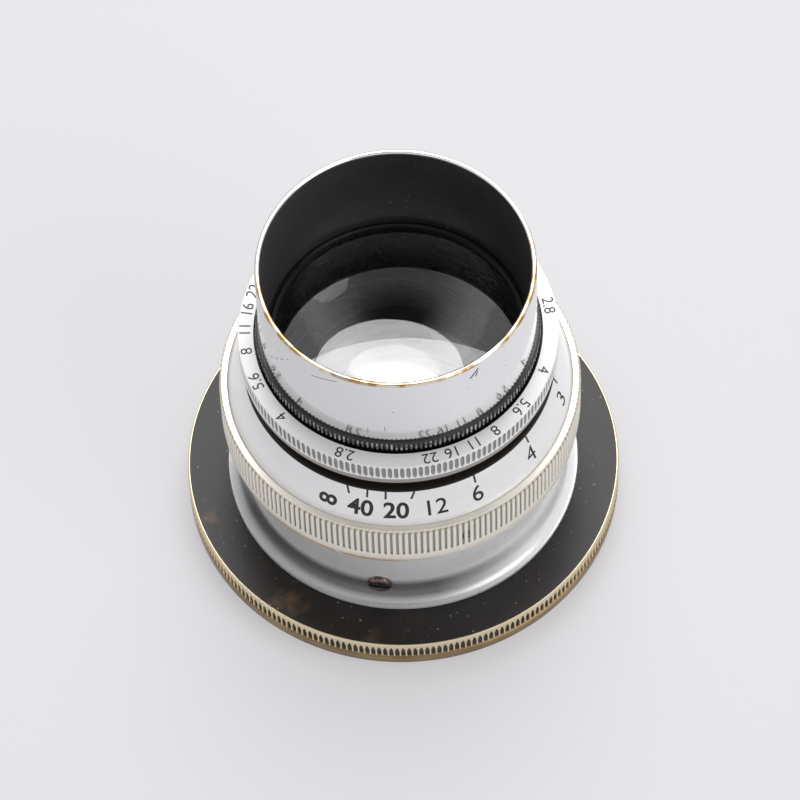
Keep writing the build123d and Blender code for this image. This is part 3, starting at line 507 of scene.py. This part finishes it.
# Aperture ring: flat face, scalloped edge, smooth band under it
aperture = {
    "teeth": 165,
    "phases": 8,
    "bore": 23.47,
    "skirt": 24.4,
    "outer": 26.06,
    "band": 25.98,
    "bottom": 43.2,
    "step": 44.9,
    "top": 48.55,
    "plate": 47.3,
    "cuts": (
        (45.4, (3, 4, 5), 0.2),
        (46.0, (2, 3, 4, 5, 6), 0.34),
        (47.3, (2, 3, 4, 5, 6), 0.34),
        (47.8, (2, 3, 4, 5, 6), 0.3),
        (48.1, (3, 4, 5), 0.2),
    ),
    "plated": (0.97, 0.96, 0.95),
    # The next two colours are painted shade, in the scallop pockets and on the band under the scalloped edge
    "pocket": (0.36, 0.36, 0.35),
    "under": (0.35, 0.33, 0.31),
    "pocketRadius": (0.0252, 0.02596, 0.00004),
    "pocketHeight": (0.0449, 0.0484, 0.0001),
    "underHeight": (0.043, 0.0449, 0.0001),
}
apertureRing = turnPiece(
    "apertureRing",
    [
        (aperture["skirt"], aperture["bottom"]),
        (25.55, aperture["bottom"]),
        (25.8, aperture["bottom"] + 0.25),
        (aperture["band"], aperture["step"] - 0.3),
        (aperture["band"], aperture["step"] - 0.02),
        (aperture["outer"], aperture["step"] + 0.02),
        (aperture["outer"], 45.4),
        (aperture["outer"], 46.0),
        (aperture["outer"], 47.3),
        (aperture["outer"], 47.8),
        (aperture["outer"], 48.1),
        (aperture["outer"], 48.38),
        (aperture["outer"] - 0.17, aperture["top"]),
        (aperture["bore"], aperture["top"]),
        (aperture["bore"], aperture["plate"]),
        (aperture["skirt"], aperture["plate"]),
    ],
    aperture["teeth"] * aperture["phases"],
)
cutTeeth(apertureRing, aperture)
frosted = satinMetal("frostedChrome", aperture["plated"], 0.1, 0.45)
out, up, parts = radiusOf(frosted)
# Painted shade in the scallop pockets and on the band under the scalloped edge
pockets = times(
    frosted,
    between(frosted, out, aperture["pocketRadius"]),
    between(frosted, up, aperture["pocketHeight"]),
)
plated = addMix(frosted, pockets, aperture["plated"], aperture["pocket"])
under = between(frosted, up, aperture["underHeight"])
setSocket(frosted, "Base Color", addMix(frosted, under, plated, aperture["under"]))
finishPiece(apertureRing, frosted, "aperture_control", ["aperture_ring"])

# Scale ring: the cone with the distance scale, with painted shadow on its narrow land
cone = {
    "low": 33.9,
    "lowRadius": 28.41,
    "high": 40.1,
    "highRadius": 25.5,
    "bore": 24.36,
    "sleeve": 25.2,
    "steps": 360,
    "plated": (0.95, 0.95, 0.955),
    # the next colour is painted shadow on the narrow land
    "land": (0.03, 0.025, 0.02),
    "landHeight": (0.03998, 0.042, 0.00003),
}
scaleRing = turnPiece(
    "scaleRing",
    [
        (cone["bore"], 26.0),
        (cone["sleeve"], 26.0),
        (cone["sleeve"], 32.1),
        (27.55, 32.1),
        (27.55, 28.0),
        (cone["lowRadius"], 28.0),
        (cone["lowRadius"], cone["low"]),
        (cone["highRadius"] + 0.03, cone["high"] - 0.06),
        (cone["highRadius"] - 0.06, cone["high"]),
        (cone["bore"], cone["high"]),
    ],
    cone["steps"],
)
coneMetal = satinMetal("coneChrome", cone["plated"], 0.4, 0.3)
out, up, parts = radiusOf(coneMetal)
# Painted shadow on the narrow land at the top of the cone
land = between(coneMetal, up, cone["landHeight"])
setSocket(coneMetal, "Base Color", addMix(coneMetal, land, cone["plated"], cone["land"]))
finishPiece(scaleRing, coneMetal, "focus_ring", ["scale_ring"])

# Focus grip, with rounded ridges over a smooth band
grip = {
    "teeth": 188,
    "phases": 8,
    "outer": 29.75,
    "root": 29.4,
    "band": 29.7,
    "bottom": 23.9,
    "knurl": 26.9,
    "top": 34.0,
    "cuts": (
        (26.92, (3, 4, 5), 0.33),
        (27.2, (3, 4, 5), 0.35),
        (33.0, (3, 4, 5), 0.35),
        (33.35, (3, 4, 5), 0.33),
        (33.62, (2, 3, 4, 5, 6), 0.30),
        (33.8, (1, 2, 3, 4, 5, 6, 7), 0.27),
    ),
    "plated": (0.95, 0.91, 0.82),
    # the next colour is painted shade in the valleys between the ridges
    "valley": (0.38, 0.38, 0.34),
    "tip": (0.70, 0.60, 0.34),
    "valleyRadius": (0.0286, 0.02955, 0.00006),
    "valleyHeight": (0.0268, 0.0336, 0.0001),
    "tipHeight": (0.0335, 0.0338, 0.0001),
    "footHeight": (0.0235, 0.0252, 0.0002),
    "rubTurn": (-158, -92, 10),
}
focusGrip = turnPiece(
    "focusGrip",
    [
        (26.9, grip["bottom"]),
        (29.19, grip["bottom"]),
        (29.40, 24.25),
        (29.55, 24.8),
        (29.63, 25.4),
        (29.68, 26.1),
        (grip["band"], grip["knurl"] - 0.02),
        (grip["outer"], grip["knurl"] + 0.02),
        (grip["outer"], 27.2),
        (grip["outer"], 33.0),
        (grip["outer"], 33.35),
        (grip["outer"], 33.62),
        (grip["outer"] - 0.04, 33.8),
        (grip["root"] - 0.02, grip["top"]),
        (28.46, grip["top"]),
        (28.46, 28.0),
        (26.26, 28.0),
        (26.26, 26.05),
        (26.9, 26.05),
    ],
    grip["teeth"] * grip["phases"],
)
cutTeeth(focusGrip, grip)
knurled = satinMetal("knurledChrome", grip["plated"], 0.35, 0.34)
out, up, parts = radiusOf(knurled)
# Painted shade in the valleys between the ridges
shadedValleys = times(
    knurled,
    between(knurled, out, grip["valleyRadius"]),
    between(knurled, up, grip["valleyHeight"]),
)
plated = addMix(knurled, shadedValleys, grip["plated"], grip["valley"])
tips = between(knurled, up, grip["tipHeight"])
plated = addMix(knurled, times(knurled, tips, 0.5), plated, grip["tip"])
# Rubbed to the brass in patches at the lower left
rubbed = times(
    knurled,
    between(knurled, up, grip["footHeight"]),
    between(knurled, turnOf(knurled, parts), grip["rubTurn"]),
    addRamp(knurled, addNoise(knurled, 400, 4), (0.36, 0.0), (0.44, 1.0)),
)
setSocket(knurled, "Base Color", addMix(knurled, rubbed, plated, finish["brass"]))
finishPiece(focusGrip, knurled, "focus_ring", ["focus_grip"])

# Base barrel, with its flared foot
barrel = {
    "foot": 8.8,
    "footRadius": 29.36,
    "sweepIn": 2.56,
    "sweepUp": 4.9,
    "neck": 26.8,
    "steps": 360,
    "plated": (0.92, 0.92, 0.93),
    # The next two colours are painted shade for the left side and painted light for the right side
    "left": (0.68, 0.68, 0.69),
    "right": (0.99, 0.99, 0.995),
    # The next four entries paint a dark reflection low in the sweep
    "tarnish": (0.08, 0.08, 0.085),
    "tarnishShare": 0.88,
    "tarnishHeight": (0.0091, 0.0128, 0.0008),
    "tarnishTurn": (-175, -62, 18),
}
barrelPoints = [
    (24.36, 1.4),
    (27.5, 1.4),
    (27.5, 8.0),
    (29.1, 8.0),
    (29.4, 8.12),
    (29.5, 8.4),
    (29.45, 8.62),
    (barrel["footRadius"], barrel["foot"]),
]
for share in (0.12, 0.25, 0.38, 0.5, 0.62, 0.74, 0.86, 1.0):
    turn = math.radians(90 * share)
    radius = barrel["footRadius"] - barrel["sweepIn"] * math.sin(turn)
    barrelPoints.append((radius, barrel["foot"] + barrel["sweepUp"] * (1 - math.cos(turn))))
barrelPoints += [
    (barrel["neck"], 26.0),
    (26.2, 26.0),
    (26.2, 31.9),
    (25.26, 31.9),
    (25.26, 25.2),
    (24.36, 25.2),
]
baseBarrel = turnPiece("baseBarrel", barrelPoints, barrel["steps"])
barrelMetal = satinMetal("barrelChrome", barrel["plated"], 0.35, 0.26)
out, up, parts = radiusOf(barrelMetal)
# Painted shade on the left and painted light on the right, with a painted dark reflection low down in the
# sweep at the front and left
sideShade = addMath(barrelMetal, "ADD", times(barrelMetal, parts.outputs["X"], 20.0), 0.64)
sideShade = addMath(barrelMetal, "MINIMUM", addMath(barrelMetal, "MAXIMUM", sideShade, 0.28), 1.0)
plated = addMix(barrelMetal, sideShade, barrel["left"], barrel["right"])
darkReflected = times(
    barrelMetal,
    between(barrelMetal, up, barrel["tarnishHeight"]),
    between(barrelMetal, turnOf(barrelMetal, parts), barrel["tarnishTurn"]),
    barrel["tarnishShare"],
)
setSocket(barrelMetal, "Base Color", addMix(barrelMetal, darkReflected, plated, barrel["tarnish"]))
finishPiece(baseBarrel, barrelMetal, "root", ["base_barrel"])

# Flange: black face, brass edge with a row of arched pockets
flange = {
    "teeth": 229,
    "phases": 8,
    "outer": 36.4,
    "groove": 36.0,
    "collar": 32.5,
    "bottom": 2.5,
    "top": 8.0,
    "cuts": (
        (4.75, (2, 3, 4, 5, 6), 0.45),
        (5.0, (2, 3, 4, 5, 6), 0.5),
        (6.2, (2, 3, 4, 5, 6), 0.5),
        (6.75, (3, 4, 5), 0.5),
        (7.15, (4,), 0.4),
        (7.45, (0, 1, 7), 0.1),
    ),
    "black": (0.012, 0.011, 0.010),
    "face": (0.013, 0.011, 0.010),
    "faceRub": (0.16, 0.085, 0.045),
    "faceDust": (0.10, 0.09, 0.08),
    "faceSpeck": (0.30, 0.27, 0.24),
    "edge": (0.74, 0.64, 0.44),
    "edgeBand": ((0.35, (0.22, 0.14, 0.065)), (0.7, (0.36, 0.25, 0.12))),
    "pocket": (0.045, 0.040, 0.034),
    "edgeRadius": (0, 0.03605, 0.00004),
    "faceHeight": (0.0077, 0.009, 0.0001),
    "pocketRadius": (0.03, 0.03615, 0.00006),
    "pocketHeight": (0.0044, 0.0075, 0.00005),
    "bandHeight": (0.0, 0.0047, 0.0001),
    "rubTurn": (-185, -100, 15),
}
flangeRing = turnPiece(
    "flangeRing",
    [
        (29.25, 0.0),
        (flange["collar"], 0.0),
        (flange["collar"], flange["bottom"]),
        (36.3, flange["bottom"]),
        (flange["outer"], 2.65),
        (flange["outer"], 4.2),
        (flange["groove"], 4.4),
        (flange["groove"], 4.7),
        (flange["outer"], 4.75),
        (flange["outer"], 5.0),
        (flange["outer"], 6.2),
        (flange["outer"], 6.75),
        (flange["outer"], 7.15),
        (flange["outer"], 7.45),
        (36.34, 7.75),
        (36.15, flange["top"]),
        (27.55, flange["top"]),
        (27.55, 3.5),
        (29.25, 3.5),
    ],
    flange["teeth"] * flange["phases"],
)
cutTeeth(flangeRing, flange)
flangeFinish = newMaterial("flangeFinish", flange["black"], 0, 0.34, specular=0.36)
out, up, parts = radiusOf(flangeFinish)
face = times(
    flangeFinish,
    between(flangeFinish, out, flange["edgeRadius"]),
    between(flangeFinish, up, flange["faceHeight"]),
)
pockets = times(
    flangeFinish,
    between(flangeFinish, out, flange["pocketRadius"]),
    between(flangeFinish, up, flange["pocketHeight"]),
)
tone = addNoise(flangeFinish, 120, 6)
dull = addRamp(flangeFinish, tone, *flange["edgeBand"])
edge = addMix(flangeFinish, between(flangeFinish, up, flange["bandHeight"]), flange["edge"], dull)
edge = addMix(flangeFinish, pockets, edge, flange["pocket"])
# Coppery rubs on the black, at the left
rubs = times(
    flangeFinish,
    addRamp(flangeFinish, tone, (0.54, 0.0), (0.64, 1.0)),
    between(flangeFinish, turnOf(flangeFinish, parts), flange["rubTurn"]),
    0.6,
)
paintTone = addMix(flangeFinish, rubs, flange["face"], flange["faceRub"])
# Dust and specks all over
scratch = addNoise(flangeFinish, 800, 5, stretch=(1, 0.15, 1))
dusty = addRamp(flangeFinish, scratch, (0.64, 0.0), (0.78, 0.35))
paintTone = addMix(flangeFinish, dusty, paintTone, flange["faceDust"])
specks = times(flangeFinish, addSpecks(flangeFinish, 1400, 0.74), 0.6)
paintTone = addMix(flangeFinish, specks, paintTone, flange["faceSpeck"])
setSocket(flangeFinish, "Base Color", addMix(flangeFinish, face, edge, paintTone))
coated = addMath(flangeFinish, "MAXIMUM", face, pockets)
setSocket(flangeFinish, "Metallic", addMath(flangeFinish, "SUBTRACT", 1.0, coated))
finishPiece(flangeRing, flangeFinish, "root", ["flange_ring"])

# Front cell: stepped mouth with its fine thread, seen down the hood
cell = {
    "wall": 22.2,
    "bore": 21.0,
    "valley": 20.9,
    "valleyTop": 47.1,
    "crest": 20.62,
    "crestTop": 46.99,
    "pitch": 0.22,
    "turns": 5,
    "steps": 320,
}
threadPoints = []
for turn in range(cell["turns"]):
    threadPoints.append((cell["valley"], cell["valleyTop"] - turn * cell["pitch"]))
    threadPoints.append((cell["crest"], cell["crestTop"] - turn * cell["pitch"]))
frontCell = turnPiece(
    "frontCell",
    [
        (cell["bore"], 29.2),
        (cell["wall"], 29.2),
        (cell["wall"], 45.65),
        (23.46, 45.65),
        (23.46, 47.25),
        (23.1, 47.25),
        (23.1, 48.9),
        (cell["wall"], 48.9),
        (cell["wall"], 47.4),
        (21.2, 47.4),
        *threadPoints,
        (cell["valley"], 46.05),
        (20.45, 46.0),
        (20.45, 39.05),
        (20.2, 36.95),
        (20.2, 36.2),
        (cell["bore"], 36.2),
    ],
    cell["steps"],
)
finishPiece(frontCell, mouth, "lens_head", ["front_cell"], angle=20)

# Glasses, between spherical surfaces: front curve and place, rear curve and place, edge
glasses = {
    "front_glass_outer": (-110, 35.05, -70, 31.9, 20.95),
    "front_glass_inner": (-70, 31.88, -52, 29.4, 20.95),
    "middle_glass": (-60, 21.4, 48, 20.0, 15.5),
    "rear_glass_inner": (70, 17.4, 38, 15.72, 17.0),
    "rear_glass_outer": (38, 15.7, -75, 8.6, 17.0),
}
glassLook = {
    "ior": 1.6,
    "dust": 0.1,
    "edge": (0.004, 0.004, 0.004),
    "edgeRough": 0.6,
    "rings": 14,
    "steps": 128,
}


def makeGlass(name, edge):
    # Clear glass with a little dust, painted black round its edge
    made = newMaterial(name, (1, 1, 1), 0, 0.0)
    setSocket(made, "IOR", glassLook["ior"])
    out, up, parts = radiusOf(made)
    rim = between(made, out, ((edge - 0.04) * mm, (edge + 1) * mm, 0.01 * mm))
    dust = times(made, addSpecks(made, 2500, 0.78), glassLook["dust"])
    setSocket(made, "Roughness", addMath(made, "ADD", dust, times(made, rim, glassLook["edgeRough"])))
    setSocket(made, "Transmission Weight", addMath(made, "SUBTRACT", 1.0, rim))
    setSocket(made, "Base Color", addMix(made, rim, (1, 1, 1), glassLook["edge"]))
    return made


def surfaceHeight(curve, centre, radius):
    # A curve below nought bulges down from its place, one above nought bulges up
    bulge = abs(curve) - math.sqrt(curve**2 - radius**2)
    return centre - bulge if curve > 0 else centre + bulge


for nodeName, (frontCurve, frontPlace, rearCurve, rearPlace, edge) in glasses.items():
    rings = [edge * share / glassLook["rings"] for share in range(glassLook["rings"] + 1)]
    front = [(radius, surfaceHeight(frontCurve, frontPlace, radius)) for radius in rings]
    rear = [(radius, surfaceHeight(rearCurve, rearPlace, radius)) for radius in reversed(rings)]
    words = nodeName.split("_")
    pieceName = words[0] + "".join(word.capitalize() for word in words[1:])
    piece = turnPiece(pieceName, front + rear, glassLook["steps"])
    finishPiece(piece, makeGlass(piece.name + "Clear", edge), "lens_head", [nodeName])
print("pieces turned")


# Marks: numbers and ticks, laid on their surfaces
marks = {
    "fontSize": 1.37,  # the font's capitals are 0.73 of its size
    "lift": 0.012,
    "coneTilt": 64.86,
    "numeral": 3.1,
    "numeralHeight": 36.6,
    "tick": 0.34,
    "tickLength": 1.5,
    "tickHeight": 39.35,
    "stop": 1.95,
    "stopRadius": 24.72,
}


def layMark(piece, tilt, turn, place):
    # A flat mark tilted, turned and carried to its place
    bpy.ops.object.select_all(action="DESELECT")
    piece.select_set(True)
    bpy.context.view_layer.objects.active = piece
    piece.rotation_euler = (math.radians(tilt), 0, math.radians(turn))
    piece.location = [part * mm for part in place]
    bpy.ops.object.transform_apply(location=True, rotation=True, scale=True)
    return piece


def addNumber(words, size, bold, tilt, turn, place, lying=False):
    bpy.ops.object.text_add(location=(0, 0, 0))
    piece = bpy.context.object
    piece.data.body = words
    piece.data.size = size * mm * marks["fontSize"]
    piece.data.offset = bold * mm
    piece.data.align_x = "CENTER"
    piece.data.align_y = "CENTER"
    bpy.ops.object.convert(target="MESH")
    piece = bpy.context.object
    if lying:
        bpy.ops.object.select_all(action="DESELECT")
        piece.select_set(True)
        piece.rotation_euler = (0, 0, math.radians(90))
        bpy.ops.object.transform_apply(location=True, rotation=True, scale=True)
    return layMark(piece, tilt, turn, place)


def addStroke(length, width, lean, tilt, turn, place, shift=0.0):
    # A straight stroke, leaning within the surface
    bpy.ops.mesh.primitive_plane_add(size=1, location=(0, 0, 0))
    piece = bpy.context.object
    piece.scale = (width * mm, length * mm, 1)
    piece.rotation_euler = (0, 0, math.radians(lean))
    piece.location = (shift * mm, 0, 0)
    bpy.ops.object.transform_apply(location=True, rotation=True, scale=True)
    return layMark(piece, tilt, turn, place)


def joinMarks(name, pieces, target, body, material):
    # One piece of all marks, cut finely and pressed onto the surface under it
    bpy.ops.object.select_all(action="DESELECT")
    for piece in pieces:
        piece.select_set(True)
    bpy.context.view_layer.objects.active = pieces[0]
    bpy.ops.object.join()
    joined = bpy.context.object
    joined.name = name
    joined.data.name = name
    bpy.ops.object.mode_set(mode="EDIT")
    bpy.ops.mesh.select_all(action="SELECT")
    bpy.ops.mesh.quads_convert_to_tris()
    bpy.ops.mesh.subdivide(number_cuts=3)
    bpy.ops.object.mode_set(mode="OBJECT")
    wrap = joined.modifiers.new("press", "SHRINKWRAP")
    wrap.target = target
    wrap.wrap_method = "NEAREST_SURFACEPOINT"
    wrap.wrap_mode = "ABOVE_SURFACE"
    wrap.offset = marks["lift"] * mm
    bpy.ops.object.modifier_apply(modifier=wrap.name)
    joined.data.materials.clear()
    joined.data.materials.append(material)
    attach(joined, body)


def onCylinder(radius, height, turn):
    # Place at a radius, a height and an angle
    angle = math.radians(turn)
    return (radius * math.cos(angle), radius * math.sin(angle), height)


def onCone(height, turn):
    # Place on the cone at a height and an angle
    share = (height - cone["low"]) / (cone["high"] - cone["low"])
    return onCylinder(cone["lowRadius"] + (cone["highRadius"] - cone["lowRadius"]) * share, height, turn)


# Distance scale: number, angle, boldness, and lying for infinity
distances = (
    ("8", -116.8, 0.10, True),
    ("40", -105.4, 0.10, False),
    ("20", -93.1, 0.10, False),
    ("12", -79.6, 0.03, False),
    ("6", -64.2, 0.03, False),
    ("4", -40.0, 0.0, False),
    ("3", -15.1, 0.0, False),
)
# Its ticks: angle from the infinity tick, lean and shift towards the number
infinityTurn = -110.0
ticks = (
    (0, 18, -0.216),
    (6.57, 0, 0.0),
    (13.2, 0, 0.0),
    (22.3, -22, 0.264),
    (46.05, 0, 0.0),
    (71.2, 0, 0.0),
    (98.06, 0, 0.0),
)
coneMarks = []
for words, turn, bold, lying in distances:
    place = onCone(marks["numeralHeight"], turn)
    coneMarks.append(addNumber(words, marks["numeral"], bold, marks["coneTilt"], turn + 90, place, lying))
for step, lean, shift in ticks:
    turn = infinityTurn + step
    place = onCone(marks["tickHeight"], turn)
    coneMarks.append(
        addStroke(marks["tickLength"], marks["tick"], lean, marks["coneTilt"], turn + 90, place, shift)
    )
joinMarks("distanceScale", coneMarks, scaleRing, "focus_ring", paint)

# Hairlines and a chip in the hood's plating: angle, height, length, width, lean
scars = (
    (-150.0, 59.3, 10.2, 0.10, -41),
    (-122.3, 65.0, 5.0, 0.13, -69),
    (-58.7, 65.2, 2.3, 0.30, -42),
    (-57.6, 64.7, 1.2, 0.22, -20),
    (-97.0, 54.5, 1.4, 0.08, 4),
    (-104.0, 53.6, 2.0, 0.07, -3),
)
hoodMarks = []
for turn, height, length, width, lean in scars:
    hoodMarks.append(addStroke(length, width, lean, 90, turn + 90, onCylinder(hood["radius"], height, turn)))
joinMarks("hoodScars", hoodMarks, hoodTube, "lens_head", paint)

# Three aperture scales: number, and its angle back from the index
stops = (("2.8", 2.0), ("4", 30.8), ("5.6", 49.1), ("8", 63.0), ("11", 72.6), ("16", 81.4), ("22", 90.0))
stopMarks = []
for indexTurn in (-110, 10, 130):
    for words, step in stops:
        place = onCylinder(marks["stopRadius"], aperture["top"], indexTurn - step)
        stopMarks.append(addNumber(words, marks["stop"], 0.0, 0, indexTurn - step - 90, place))
joinMarks("apertureScale", stopMarks, apertureRing, "aperture_control", paint)
print("marks laid")


# Pieces that stay as the frame has them
kept = {
    "flange_lock_ring": brass,
    "guide_rail": brass,
    "retaining_ring": brass,
    "guide_screw": steel,
    "stop_pin": steel,
    "grip_screws": steel,
    "iris_screws": steel,
    "drive_screw": steel,
    "head_barrel": black,
    "front_retainer": matt,
    "iris_base": matt,
    "middle_cell": matt,
    "middle_retainer": matt,
    "rear_cell": matt,
    "rear_retainer": matt,
    "rear_lock_ring": matt,
    "drive_sleeve": matt,
    "cam_ring": matt,
}
for nodeName, node in nodes.items():
    material = kept.get(nodeName, matt if nodeName.startswith("iris_blade") else None)
    if material:
        if not node.material_slots:
            node.data.materials.append(material)
        for materialSlot in node.material_slots:
            materialSlot.material = material
print("pieces made")
